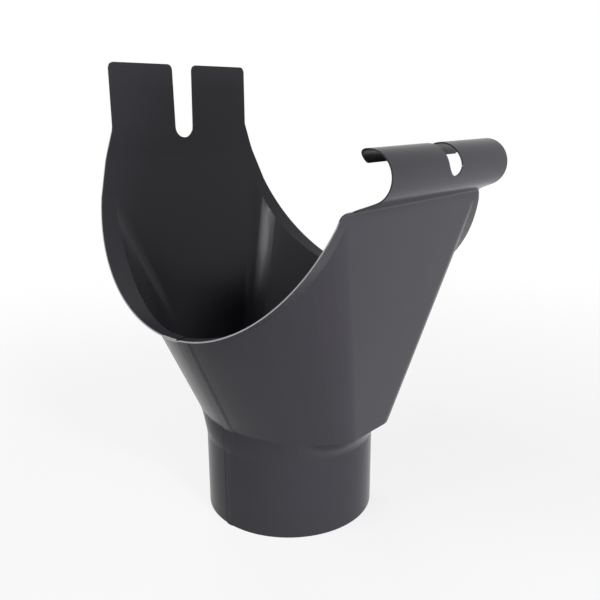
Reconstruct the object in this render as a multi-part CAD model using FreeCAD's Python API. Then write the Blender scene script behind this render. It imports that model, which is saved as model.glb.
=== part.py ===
import FreeCAD, Part
import math
import os

from FreeCAD import Vector

# Running outlet for a half-round gutter: two pressed sheet shells that lap along a seam at each side.
# Sizes are in mm and angles in degrees.
# X points to the bead side of the gutter, Y runs along the gutter, Z is up.
# The origin is the centre of the lower end of the spigot.

# Sheet
sheet_thickness = 0.6

# Gutter that the outlet hangs on
gutter_radius = 75.0
saddle_clearance = 0.5
gutter_axis_x = 1.0
gutter_axis_height = 183.0
bead_radius = 9.4
bead_clearance = 0.45
bead_outside_gutter = 4.6
bead_below_axis = 4.7

# Spigot that goes into the downpipe
spigot_radius = 43.2
spigot_length = 40.0

# Funnel between the gutter and the spigot, with a neck that curves in at its foot
neck_flare = 1.2
funnel_foot_height = 52.0
panel_overhang = 8.2
panel_bite = 0.5
panel_foot_half_width = 10.9
fold_splay = 18.8
side_lean = 27.3
corner_fullness_foot = 0.44
corner_fullness_mouth = 0.36
corner_strips = 8

# Mouth
mouth_end_lean = 19.5
ridge_half_width = 52.2
ridge_corner_radius = 5.0
ridge_corner_rise = 0.8

# Back tabs
tab_half_width = 45.7
tab_root_above_axis = 9.7
tab_top_above_axis = 40.9
tab_corner_radius = 3.0
tab_root_radius = 6.0
tab_slot_top_half_width = 6.7
tab_slot_foot_half_width = 6.0
tab_slot_floor_above_axis = 3.6

# Hook over the gutter bead
ridge_below_axis = 18.4
ridge_radius = 1.5
join_below_ridge = 3.0
hook_half_width = 45.1
hook_end_angle = 157.0
hook_slot_half_width = 5.2
hook_slot_foot_angle = -13.0
lip_corner_start_angle = 100.0
lip_corner_run = 12.0
shelf_corner_radius = 7.0

# Lap of the two shells, front edge outside back edge
lap_edge_x = -3.6
lap_foot_width = 2.7
lap_splay = 2.9
lap_rise = 0.4
lap_bend_run = 1.8
lap_tuck_run = 1.0
lap_tuck_gap = 0.1
butt_gap = 0.3

# Sizes that follow from the ones above
saddle_inner_radius = gutter_radius + saddle_clearance
saddle_outer_radius = saddle_inner_radius + sheet_thickness
hook_inner_radius = bead_radius + bead_clearance
hook_outer_radius = hook_inner_radius + sheet_thickness
bead_centre_x = gutter_axis_x + gutter_radius + bead_outside_gutter
bead_z = gutter_axis_height - bead_below_axis
ridge_z = gutter_axis_height - ridge_below_axis
join_z = ridge_z - join_below_ridge
tab_root_z = gutter_axis_height + tab_root_above_axis
tab_top_z = gutter_axis_height + tab_top_above_axis
tab_slot_floor_z = gutter_axis_height + tab_slot_floor_above_axis
mouth_floor_z = gutter_axis_height - saddle_outer_radius
beyond = 3 * gutter_radius


def sin(angle):
    return math.sin(math.radians(angle))


def cos(angle):
    return math.cos(math.radians(angle))


def tan(angle):
    return math.tan(math.radians(angle))


# The panels rise from their foot folds and touch the gutter's circle
panel_circle_radius = saddle_outer_radius - panel_bite
panel_foot_reach = spigot_radius + panel_overhang
panel_foot_below_axis = gutter_axis_height - funnel_foot_height
panel_lean = math.degrees(
    math.asin(panel_circle_radius / math.hypot(panel_foot_reach, panel_foot_below_axis))
    - math.atan2(panel_foot_reach, panel_foot_below_axis)
)
funnel_top_z = gutter_axis_height - saddle_outer_radius * sin(panel_lean)
neck_height = funnel_foot_height - spigot_length
neck_fall = math.degrees(math.atan2(neck_height / 2, panel_overhang - neck_flare))


def box(x0, x1, y0, y1, z0, z1):
    return Part.makeBox(x1 - x0, y1 - y0, z1 - z0, Vector(x0, y0, z0))


def rounded_polygon(points, radii):
    """Closed wire through the points, each corner rounded by its own radius, 0 for a sharp one."""
    count = len(points)
    arcs = []
    starts = []
    ends = []
    for i in range(count):
        corner = points[i]
        back = (points[i - 1] - corner).normalize()
        ahead = (points[(i + 1) % count] - corner).normalize()
        if radii[i] == 0:
            starts.append(corner)
            ends.append(corner)
            continue
        half = back.getAngle(ahead) / 2
        first = corner + back * (radii[i] / math.tan(half))
        last = corner + ahead * (radii[i] / math.tan(half))
        towards = (back + ahead).normalize()
        middle = corner + towards * (radii[i] / math.sin(half) - radii[i])
        arcs.append(Part.Arc(first, middle, last).toShape())
        starts.append(first)
        ends.append(last)
    lines = []
    for i in range(count):
        a = ends[i]
        b = starts[(i + 1) % count]
        if a.distanceToPoint(b) > 1e-6:
            lines.append(Part.makeLine(a, b))
    return Part.Wire(Part.__sortEdges__(arcs + lines))


def bezier(poles):
    curve = Part.BezierCurve()
    curve.setPoles(poles)
    return curve


def panel_reach(z, d):
    """Distance from the gutter axis plane to a panel at height z, the panel moved out by d."""
    at_axis = (panel_circle_radius + d) / cos(panel_lean)
    return at_axis - (gutter_axis_height - z) * tan(panel_lean)


def foot_z(d):
    """Height of the fold between a panel and the neck under it, both moved out by d."""
    return funnel_foot_height + d * (sin(neck_fall) - cos(panel_lean)) / cos(panel_lean + neck_fall)


def funnel_curves(z, d, fullness):
    """Level section of the funnel: flat panels front and back, and soft corners cut into short strips."""
    reach = panel_reach(z, d)
    rise = z - funnel_foot_height
    half_width = spigot_radius + rise * tan(side_lean) + d / cos(side_lean)
    fold = panel_foot_half_width + rise * tan(fold_splay)
    depth = half_width - fold
    curves = []
    for sx, sy in ((1, 1), (-1, 1), (-1, -1), (1, -1)):
        face_x = gutter_axis_x + sx * reach
        poles = [
            Vector(face_x, sy * fold, z),
            Vector(face_x, sy * (fold + fullness * depth), z),
            Vector(gutter_axis_x + sx * fullness * reach, sy * half_width, z),
            Vector(gutter_axis_x, sy * half_width, z),
        ]
        if sx * sy < 0:
            poles.reverse()
        corner = bezier(poles)
        for i in range(corner_strips):
            strip = corner.copy()
            strip.segment(i / corner_strips, (i + 1) / corner_strips)
            curves.append(strip)
        if sx * sy < 0:
            thirds = [Vector(face_x, sy * fold * (1 - 2 * i / 3), z) for i in range(4)]
            curves.append(bezier(thirds))
    return curves


def wire_of(curves):
    return Part.Wire([curve.toShape() for curve in curves])


def circle_row(like, radius, z):
    """Poles and weights of the level arc about the spigot's axis that spans the same angles as a curve."""
    first = math.atan2(like.StartPoint.y, like.StartPoint.x)
    last = math.atan2(like.EndPoint.y, like.EndPoint.x)
    half = ((last - first + math.pi) % (2 * math.pi) - math.pi) / 2
    start = Vector(radius * math.cos(first), radius * math.sin(first), z)
    end = Vector(radius * math.cos(last), radius * math.sin(last), z)
    tip_radius = radius / math.cos(half)
    tip = Vector(tip_radius * math.cos(first + half), tip_radius * math.sin(first + half), z)
    share = 2 * math.cos(half)
    near_start = (start + tip * share) * (1 / (1 + share))
    near_end = (end + tip * share) * (1 / (1 + share))
    return [start, near_start, near_end, end], [1, (1 + share) / 3, (1 + share) / 3, 1]


def neck(d):
    """Solid that curves in from the funnel's foot to the upper end of the spigot."""
    top = funnel_curves(foot_z(d), d, corner_fullness_foot)
    middle_radius = spigot_radius + neck_flare + d
    middle_z = funnel_foot_height - neck_height / 2
    faces = []
    low = []
    for curve in top:
        rows = [
            (curve.getPoles(), [1, 1, 1, 1]),
            circle_row(curve, middle_radius, middle_z),
            circle_row(curve, spigot_radius + d, spigot_length),
        ]
        grid = Part.BezierSurface()
        grid.increase(2, 3)
        for i, (poles, weights) in enumerate(rows):
            for j in range(4):
                grid.setPole(i + 1, j + 1, poles[j], weights[j])
        faces.append(grid.toShape())
        arc = bezier(rows[-1][0])
        for j in range(4):
            arc.setWeight(j + 1, rows[-1][1][j])
        low.append(arc)
    faces.append(Part.Face(wire_of(top)))
    faces.append(Part.Face(wire_of(low)))
    shell = Part.makeShell(faces)
    shell.sewShape()
    return Part.makeSolid(shell)


def funnel(d, below):
    """Solid funnel with its neck and spigot, the surface moved out by d and the spigot reaching below its end."""
    foot = foot_z(d)
    sections = [
        wire_of(funnel_curves(foot, d, corner_fullness_foot)),
        wire_of(funnel_curves(funnel_top_z, d, corner_fullness_mouth)),
    ]
    walls = Part.makeLoft(sections, True, True)
    spigot = Part.makeCylinder(spigot_radius + d, spigot_length + below, Vector(0, 0, -below))
    return walls.fuse([neck(d), spigot])


def saddle(d):
    """Solid that fills the gutter up to its axis, flat where the panels touch it, and the space above."""
    radius = saddle_outer_radius + d
    start = Vector(gutter_axis_x, -beyond, gutter_axis_height)
    bowl = Part.makeCylinder(radius, 2 * beyond, start, Vector(0, 1, 0))
    low = panel_reach(0, d)
    high = panel_reach(gutter_axis_height, d)
    corners = [(-low, 0), (low, 0), (high, gutter_axis_height), (-high, gutter_axis_height), (-low, 0)]
    wire = Part.makePolygon([Vector(gutter_axis_x + x, -beyond, z) for x, z in corners])
    lower = bowl.common(Part.Face(wire).extrude(Vector(0, 2 * beyond, 0)))
    above = box(gutter_axis_x - radius, gutter_axis_x, -beyond, beyond, gutter_axis_height, tab_top_z + 1)
    return lower.fuse(above)


def body(d, below):
    return funnel(d, below).fuse(saddle(d))


def sheet_at(d, below):
    """Sheet whose outer surface is moved out by d."""
    return body(d, below).cut(body(d - sheet_thickness, below + 1))


def mouth_half_width(z):
    return tab_half_width + (tab_root_z - z) * tan(mouth_end_lean)


def outline(right_side):
    """Thick block whose outline along X is given by the corners of its right side, from the bottom up."""
    left_side = [(-y, z, r) for y, z, r in reversed(right_side)]
    corners = right_side + left_side
    points = [Vector(-beyond, y, z) for y, z, r in corners]
    radii = [r for y, z, r in corners]
    return Part.Face(rounded_polygon(points, radii)).extrude(Vector(2 * beyond, 0, 0))


def back_outline():
    """Slanted mouth ends, two tabs and the slot between them."""
    return outline(
        [
            (mouth_half_width(-5), -5, 0),
            (tab_half_width, tab_root_z, tab_root_radius),
            (tab_half_width, tab_top_z, tab_corner_radius),
            (tab_slot_top_half_width, tab_top_z, tab_corner_radius),
            (tab_slot_foot_half_width, tab_slot_floor_z, tab_slot_foot_half_width * 0.97),
        ]
    )


def front_outline():
    """Slanted mouth ends that draw in a little more than the back ones, rounded where the panel ends."""
    top_z = ridge_z + ridge_corner_rise
    floor_half_width = mouth_half_width(mouth_floor_z)
    slant = (floor_half_width - ridge_half_width) / (top_z - mouth_floor_z)
    shelf_half_width = ridge_half_width - ridge_corner_radius
    return outline(
        [
            (ridge_half_width + slant * (top_z + 5), -5, 0),
            (ridge_half_width, top_z, ridge_corner_radius),
            (shelf_half_width, top_z, 0),
            (shelf_half_width, tab_top_z, 0),
        ]
    )


def tangent_angle(x, z):
    """Slope of the line from the point (x, z) that just touches the underside of the bead hook."""
    dx = bead_centre_x - x
    dz = bead_z - z
    return math.degrees(math.atan2(dz, dx) - math.asin(hook_outer_radius / math.hypot(dx, dz)))


def hook():
    """Top of the front panel, the shelf under the bead and the hook around the bead."""
    ridge_x = gutter_axis_x + panel_reach(ridge_z, 0)
    join_x = gutter_axis_x + panel_reach(join_z, 0)
    slope = tangent_angle(ridge_x, ridge_z)
    start = slope - 90

    def on_circle(radius, angle):
        return Vector(bead_centre_x + radius * cos(angle), 0, bead_z + radius * sin(angle))

    # Fold line of the inner face, one sheet thickness in from both outer faces
    inner_x = ridge_x - sheet_thickness * (cos(slope) - sin(panel_lean)) / cos(panel_lean + slope)
    inner_z = ridge_z + sheet_thickness * (cos(panel_lean) - sin(slope)) / cos(panel_lean + slope)
    shelf_points = [
        Vector(join_x, 0, join_z),
        Vector(ridge_x, 0, ridge_z),
        on_circle(hook_outer_radius, start),
        on_circle(hook_inner_radius, start),
        Vector(inner_x, 0, inner_z),
        Vector(join_x - sheet_thickness / cos(panel_lean), 0, join_z),
    ]
    shelf_radii = [0, ridge_radius, 0, 0, ridge_radius + sheet_thickness, 0]
    shelf = Part.Face(rounded_polygon(shelf_points, shelf_radii))
    shelf.translate(Vector(0, -beyond, 0))
    shelf = shelf.extrude(Vector(0, 2 * beyond, 0))

    # Plan of the shelf: as wide as the panel at the ridge, narrowing to the hook
    touch_x = on_circle(hook_outer_radius, start).x
    narrow_x = (ridge_x + touch_x) / 2
    half_plan = [
        (ridge_x - ridge_radius - 5, ridge_half_width + 5, 0),
        (ridge_x, ridge_half_width + 5, 0),
        (ridge_x, ridge_half_width, 0),
        (narrow_x, hook_half_width, shelf_corner_radius),
        (touch_x + 1, hook_half_width, 0),
    ]
    plan = half_plan + [(x, -y, r) for x, y, r in reversed(half_plan)]
    plan_wire = rounded_polygon([Vector(x, y, join_z - 1) for x, y, r in plan], [r for x, y, r in plan])
    shelf = shelf.common(Part.Face(plan_wire).extrude(Vector(0, 0, 2 * hook_outer_radius)))

    # Hook around the bead, open behind it
    rim = [
        Part.Arc(
            on_circle(hook_outer_radius, start),
            on_circle(hook_outer_radius, (start + hook_end_angle) / 2),
            on_circle(hook_outer_radius, hook_end_angle),
        ).toShape(),
        Part.makeLine(on_circle(hook_outer_radius, hook_end_angle), on_circle(hook_inner_radius, hook_end_angle)),
        Part.Arc(
            on_circle(hook_inner_radius, hook_end_angle),
            on_circle(hook_inner_radius, (start + hook_end_angle) / 2),
            on_circle(hook_inner_radius, start),
        ).toShape(),
        Part.makeLine(on_circle(hook_inner_radius, start), on_circle(hook_outer_radius, start)),
    ]
    curl = Part.Face(Part.Wire(rim))
    curl.translate(Vector(0, -hook_half_width, 0))
    curl = curl.extrude(Vector(0, 2 * hook_half_width, 0))

    # Lip corners cut off at both ends
    high_z = on_circle(hook_outer_radius, lip_corner_start_angle).z
    low_z = on_circle(hook_inner_radius, hook_end_angle).z
    for side in (1, -1):
        corner = Part.makePolygon(
            [
                Vector(0, side * (hook_half_width + 1), high_z),
                Vector(0, side * hook_half_width, high_z),
                Vector(0, side * (hook_half_width - lip_corner_run), low_z),
                Vector(0, side * (hook_half_width - lip_corner_run), low_z - hook_outer_radius / 2),
                Vector(0, side * (hook_half_width + 1), low_z - hook_outer_radius / 2),
                Vector(0, side * (hook_half_width + 1), high_z),
            ]
        )
        curl = curl.cut(Part.Face(corner).extrude(Vector(bead_centre_x, 0, 0)))

    # Slot from the lip over the top, with a round foot at the front
    slot_foot_z = bead_z + hook_outer_radius * sin(hook_slot_foot_angle) + hook_slot_half_width
    slot = box(
        bead_centre_x - 2 * hook_outer_radius,
        bead_centre_x + 2 * hook_outer_radius,
        -hook_slot_half_width,
        hook_slot_half_width,
        slot_foot_z,
        bead_z + 2 * hook_outer_radius,
    )
    slot_foot = Part.makeCylinder(
        hook_slot_half_width, 2 * hook_outer_radius, Vector(bead_centre_x, 0, slot_foot_z), Vector(1, 0, 0)
    )
    return shelf.fuse(curl).cut(slot.fuse(slot_foot))


def lap_line(x_at_foot, lean=0):
    """Line on the seam seen along Y, as its x at the foot and its lean to the front."""
    return [Vector(x_at_foot + z * tan(lean), -beyond, z) for z in (-5, tab_top_z + 5)]


def slab(first, last):
    """Space between the planes across the outlet through two lap lines."""
    wire = Part.makePolygon([first[0], last[0], last[1], first[1], first[0]])
    return Part.Face(wire).extrude(Vector(0, 2 * beyond, 0))


def cuts(sheet, line, side):
    """Wire round the sheet's cut face in the plane through a lap line, at one side of the outlet."""
    reach = Vector(0, side * beyond, 0)
    middle = [Vector(point.x, 0, point.z) for point in line]
    plane = Part.Face(Part.makePolygon([middle[0], middle[1], middle[1] + reach, middle[0] + reach, middle[0]]))
    return sheet.common(plane).Faces[0].OuterWire


def bend(first_sheet, first, last_sheet, last):
    """Bends at both sides that lead from one sheet at a lap line to another sheet at the next line."""
    solids = []
    for side in (1, -1):
        wires = [cuts(first_sheet, first, side), cuts(last_sheet, last, side)]
        solids.append(Part.makeLoft(wires, True, True))
    return solids


def shells():
    """Front shell with its lap strips outside the back shell, and the back shell."""
    plain = sheet_at(0, 0)
    raised = sheet_at(lap_rise, 0)
    tucked = sheet_at(lap_rise - sheet_thickness, 0)

    # Front shell: lap strip from its cut edge to the bend, then the plain sheet
    bend_x = lap_edge_x + lap_foot_width
    strip_start = lap_line(lap_edge_x)
    strip_end = lap_line(bend_x, lap_splay)
    bend_end = lap_line(bend_x + lap_bend_run, lap_splay)
    outline_in_front = front_outline()
    above_join = box(-beyond, beyond, -beyond, beyond, join_z, tab_top_z + 2)
    plain_front = plain.common(outline_in_front).cut(above_join)
    raised_front = raised.common(outline_in_front)
    front = plain_front.common(slab(bend_end, lap_line(beyond)))
    strip = raised_front.common(slab(strip_start, strip_end))
    bends = bend(raised_front, strip_end, plain_front, bend_end)
    front = front.fuse([strip, hook().common(outline_in_front)] + bends).removeSplitter()

    # Back shell: plain sheet, tucked in just behind the front shell's edge
    tuck_end_x = lap_edge_x - lap_tuck_gap
    tuck_start = lap_line(tuck_end_x - lap_tuck_run)
    tuck_end = lap_line(tuck_end_x)
    tongue_end = lap_line(bend_x - butt_gap, lap_splay)
    outline_behind = back_outline()
    plain_back = plain.common(outline_behind)
    tucked_back = tucked.common(outline_behind)
    back = plain_back.common(slab(lap_line(-beyond), tuck_start))
    tongue = tucked_back.common(slab(tuck_end, tongue_end))
    tucks = bend(plain_back, tuck_start, tucked_back, tuck_end)
    back = back.fuse([tongue] + tucks).removeSplitter()
    return front, back


os.makedirs("parts", exist_ok=True)
front_shell, back_shell = shells()
front_shell.exportStep("parts/front_shell.step")
back_shell.exportStep("parts/back_shell.step")
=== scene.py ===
import math

import bpy
from mathutils import Matrix, Vector


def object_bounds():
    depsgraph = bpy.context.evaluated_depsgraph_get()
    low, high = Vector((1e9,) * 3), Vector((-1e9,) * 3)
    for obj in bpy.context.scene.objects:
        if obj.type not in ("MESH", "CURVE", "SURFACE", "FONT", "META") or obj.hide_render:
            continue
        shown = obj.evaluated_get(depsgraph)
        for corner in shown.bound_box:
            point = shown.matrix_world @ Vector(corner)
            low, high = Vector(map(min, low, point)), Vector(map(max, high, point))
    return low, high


# Gutter running outlet, in metres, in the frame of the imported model.
# X points to the bead side of the gutter, Y along the gutter, Z up, origin at the spigot's lower end.
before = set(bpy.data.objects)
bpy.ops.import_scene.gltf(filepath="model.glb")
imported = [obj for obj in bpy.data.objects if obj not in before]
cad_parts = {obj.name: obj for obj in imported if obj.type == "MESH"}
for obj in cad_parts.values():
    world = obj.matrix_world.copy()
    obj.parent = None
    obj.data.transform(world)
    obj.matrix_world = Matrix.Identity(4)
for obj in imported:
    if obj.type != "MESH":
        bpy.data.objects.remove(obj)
cad_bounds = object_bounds()

# Camera at the photograph's viewing angle, with angles in degrees
CAMERA_POSITION = Vector((0.2334, -0.25812, 0.20465))
CAMERA_AZIMUTH = 41.156
CAMERA_PITCH = 15.484
CAMERA_ROLL = -0.249
FOCAL_OVER_WIDTH = 714.5 / 600
SENSOR_WIDTH = 36.0
CLIP_START = 0.01
CLIP_END = 50

# Surround, and a floor that gets whiter from the near to the far distance around the object
WHITE = (1, 1, 1, 1)
WORLD_STRENGTH = 0.08
FLOOR_SIZE = 6.0
FLOOR_COLOUR = (0.92, 0.92, 0.92, 1)
FLOOR_ROUGHNESS = 0.9
FLOOR_NEAR = 0.15
FLOOR_FAR = 0.6
FLOOR_WHITENESS = 0.8

# Satin coating with faint clouds and a fine orange peel
COATING_COLOUR = (0.036, 0.0345, 0.041)
COATING_SPECULAR = 0.12
COATING_ROUGHNESS = 0.25
ROUGHNESS_SPREAD = 0.04
CLOUD_SCALE = 14.0
CLOUD_DETAIL = 4.0
CLOUD_DARKEST = 0.92
CLOUD_LIGHTEST = 1.08
PEEL_SCALE = 900.0
PEEL_DETAIL = 2.0
PEEL_STRENGTH = 0.05
PEEL_HEIGHT = 0.0002

# Bare sheet with a painted highlight on the slanted mouth ends, which are known by how their normals rise
# above level
CUT_EDGE_HIGHLIGHT_COLOUR = (0.40, 0.40, 0.42, 1)
CUT_EDGE_RISE = 20.6
CUT_EDGE_MATCH = 0.998

# Lamps: name, place, target, width, height and watts
LAMPS = (
    ("top_lamp", (-0.35, -0.95, 1.1), (0, 0, 0.09), 0.9, 0.9, 10),
    ("front_lamp", (0.6, -0.06, 0.06), (0.06, 0, 0.11), 0.25, 0.1, 2.9),
    ("key_lamp", (0.96, -0.30, 0.72), (-0.063, 0.05, 0.134), 0.2, 0.2, 4.6),
    ("back_lamp", (-0.8, 0.5, 0.5), (0, 0, 0.09), 0.5, 0.5, 3),
)


def camera():
    """Camera with the photograph's angle, place and field of view."""
    azimuth = math.radians(CAMERA_AZIMUTH)
    pitch = math.radians(CAMERA_PITCH)
    roll = math.radians(CAMERA_ROLL)
    flat = math.cos(pitch)
    back = Vector((math.sin(azimuth) * flat, -math.cos(azimuth) * flat, math.sin(pitch)))
    level = Vector((math.cos(azimuth), math.sin(azimuth), 0))
    upright = back.cross(level)
    right = math.cos(roll) * level + math.sin(roll) * upright
    up = math.cos(roll) * upright - math.sin(roll) * level
    turn = Matrix((right, up, back)).transposed().to_4x4()
    data = bpy.data.cameras.new("camera")
    data.sensor_width = SENSOR_WIDTH
    data.lens = SENSOR_WIDTH * FOCAL_OVER_WIDTH
    data.clip_start = CLIP_START
    data.clip_end = CLIP_END
    placed = bpy.data.objects.new("camera", data)
    placed.matrix_world = Matrix.Translation(CAMERA_POSITION) @ turn
    bpy.context.scene.collection.objects.link(placed)
    bpy.context.scene.camera = placed


def node(tree, kind, values=None, **settings):
    """New shader node with its settings, then the values of its inputs by name or number."""
    made = tree.nodes.new(kind)
    for name, value in settings.items():
        setattr(made, name, value)
    for name, value in (values or {}).items():
        made.inputs[name].default_value = value
    return made


def new_material(name):
    """New material with its node tree and its principled shader."""
    material = bpy.data.materials.new(name)
    material.use_nodes = True
    return material, material.node_tree, material.node_tree.nodes["Principled BSDF"]


def cut_edge_highlight_mask(tree):
    """Output that is 1 on the slanted cut ends of the mouth, which take bare sheet and a painted
    highlight, and 0 elsewhere.
    """
    surface = node(tree, "ShaderNodeNewGeometry")
    level = math.cos(math.radians(CUT_EDGE_RISE))
    rise = math.sin(math.radians(CUT_EDGE_RISE))
    either = node(tree, "ShaderNodeMath", operation="MAXIMUM")
    for number, side in enumerate((-1, 1)):
        facing = node(tree, "ShaderNodeVectorMath", {1: (0, side * level, rise)}, operation="DOT_PRODUCT")
        cut = node(tree, "ShaderNodeMath", {1: CUT_EDGE_MATCH}, operation="GREATER_THAN")
        tree.links.new(surface.outputs["True Normal"], facing.inputs[0])
        tree.links.new(facing.outputs["Value"], cut.inputs[0])
        tree.links.new(cut.outputs["Value"], either.inputs[number])
    return either.outputs["Value"]


def coating():
    """Satin powder coating on sheet, with bare sheet lightened into a painted highlight where it is cut
    along the mouth.
    """
    material, tree, shader = new_material("coated_sheet")
    link = tree.links.new
    shader.inputs["Specular IOR Level"].default_value = COATING_SPECULAR
    place = node(tree, "ShaderNodeTexCoord")

    clouds = node(tree, "ShaderNodeTexNoise", {"Scale": CLOUD_SCALE, "Detail": CLOUD_DETAIL})
    tint = node(tree, "ShaderNodeMapRange", {"To Min": CLOUD_DARKEST, "To Max": CLOUD_LIGHTEST})
    colour = node(tree, "ShaderNodeVectorMath", {0: COATING_COLOUR}, operation="SCALE")
    link(place.outputs["Object"], clouds.inputs["Vector"])
    link(clouds.outputs["Fac"], tint.inputs["Value"])
    link(tint.outputs["Result"], colour.inputs["Scale"])

    # Cut ends of the mouth: bare sheet colour made light enough to serve as a painted highlight
    bare_edge_and_highlight = node(tree, "ShaderNodeMix", {"B": CUT_EDGE_HIGHLIGHT_COLOUR}, data_type="RGBA")
    link(cut_edge_highlight_mask(tree), bare_edge_and_highlight.inputs["Factor"])
    link(colour.outputs["Vector"], bare_edge_and_highlight.inputs["A"])
    link(bare_edge_and_highlight.outputs["Result"], shader.inputs["Base Color"])

    smoothest = COATING_ROUGHNESS - ROUGHNESS_SPREAD
    roughest = COATING_ROUGHNESS + ROUGHNESS_SPREAD
    gloss = node(tree, "ShaderNodeMapRange", {"To Min": smoothest, "To Max": roughest})
    link(clouds.outputs["Fac"], gloss.inputs["Value"])
    link(gloss.outputs["Result"], shader.inputs["Roughness"])

    peel = node(tree, "ShaderNodeTexNoise", {"Scale": PEEL_SCALE, "Detail": PEEL_DETAIL})
    bump = node(tree, "ShaderNodeBump", {"Strength": PEEL_STRENGTH, "Distance": PEEL_HEIGHT})
    link(place.outputs["Object"], peel.inputs["Vector"])
    link(peel.outputs["Fac"], bump.inputs["Height"])
    link(bump.outputs["Normal"], shader.inputs["Normal"])
    return material


def seen_rays(tree):
    """Output that is 1 for rays of the camera, of reflections and of transmission, 0 for the light's."""
    path = node(tree, "ShaderNodeLightPath")
    seen = path.outputs["Is Camera Ray"]
    for other in ("Is Glossy Ray", "Is Transmission Ray"):
        either = node(tree, "ShaderNodeMath", operation="MAXIMUM")
        tree.links.new(seen, either.inputs[0])
        tree.links.new(path.outputs[other], either.inputs[1])
        seen = either.outputs["Value"]
    return seen


def floor_material():
    """Pale matt floor with a share of plain white, which grows with the distance from the object."""
    material, tree, shader = new_material("floor")
    link = tree.links.new
    shader.inputs["Base Color"].default_value = FLOOR_COLOUR
    shader.inputs["Roughness"].default_value = FLOOR_ROUGHNESS
    shader.inputs["Specular IOR Level"].default_value = 0.0
    white = node(tree, "ShaderNodeEmission", {"Color": WHITE, "Strength": 1.0})

    place = node(tree, "ShaderNodeTexCoord")
    distance = node(tree, "ShaderNodeVectorMath", operation="LENGTH")
    reach = {"From Min": FLOOR_NEAR, "From Max": FLOOR_FAR, "To Min": FLOOR_WHITENESS}
    spread = node(tree, "ShaderNodeMapRange", reach, interpolation_type="SMOOTHSTEP")
    share = node(tree, "ShaderNodeMath", operation="MULTIPLY")
    link(place.outputs["Object"], distance.inputs[0])
    link(distance.outputs["Value"], spread.inputs["Value"])
    link(spread.outputs["Result"], share.inputs[0])
    link(seen_rays(tree), share.inputs[1])

    mix = node(tree, "ShaderNodeMixShader")
    link(share.outputs["Value"], mix.inputs["Fac"])
    link(shader.outputs["BSDF"], mix.inputs[1])
    link(white.outputs["Emission"], mix.inputs[2])
    link(mix.outputs["Shader"], tree.nodes["Material Output"].inputs["Surface"])
    return material


def floor():
    """White floor that takes the object's shadow and runs into the white surround further out."""
    half = FLOOR_SIZE / 2
    low_z = cad_bounds[0][2]
    corners = [(x * half, y * half, low_z) for x, y in ((-1, -1), (1, -1), (1, 1), (-1, 1))]
    mesh = bpy.data.meshes.new("floor")
    mesh.from_pydata(corners, [], [(0, 1, 2, 3)])
    mesh.materials.append(floor_material())
    plane = bpy.data.objects.new("floor", mesh)
    bpy.context.scene.collection.objects.link(plane)


def surround():
    """White background for the camera and for reflections, and weak light from it elsewhere."""
    world = bpy.data.worlds.new("surround")
    bpy.context.scene.world = world
    world.use_nodes = True
    tree = world.node_tree
    background = tree.nodes["Background"]
    background.inputs["Color"].default_value = WHITE
    strength = node(tree, "ShaderNodeMapRange", {"To Min": WORLD_STRENGTH, "To Max": 1.0})
    tree.links.new(seen_rays(tree), strength.inputs["Value"])
    tree.links.new(strength.outputs["Result"], background.inputs["Strength"])


def lamp(name, place, target, width, height, watts):
    """Soft rectangular lamp at place that points at target."""
    data = bpy.data.lights.new(name, "AREA")
    data.shape = "RECTANGLE"
    data.size = width
    data.size_y = height
    data.energy = watts
    placed = bpy.data.objects.new(name, data)
    placed.location = place
    placed.rotation_euler = (Vector(place) - Vector(target)).to_track_quat("Z", "Y").to_euler()
    bpy.context.scene.collection.objects.link(placed)


camera()
sheet = coating()
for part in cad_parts.values():
    part.data.materials.clear()
    part.data.materials.append(sheet)
floor()
surround()
for settings in LAMPS:
    lamp(*settings)
bpy.context.scene.view_settings.view_transform = "Standard"
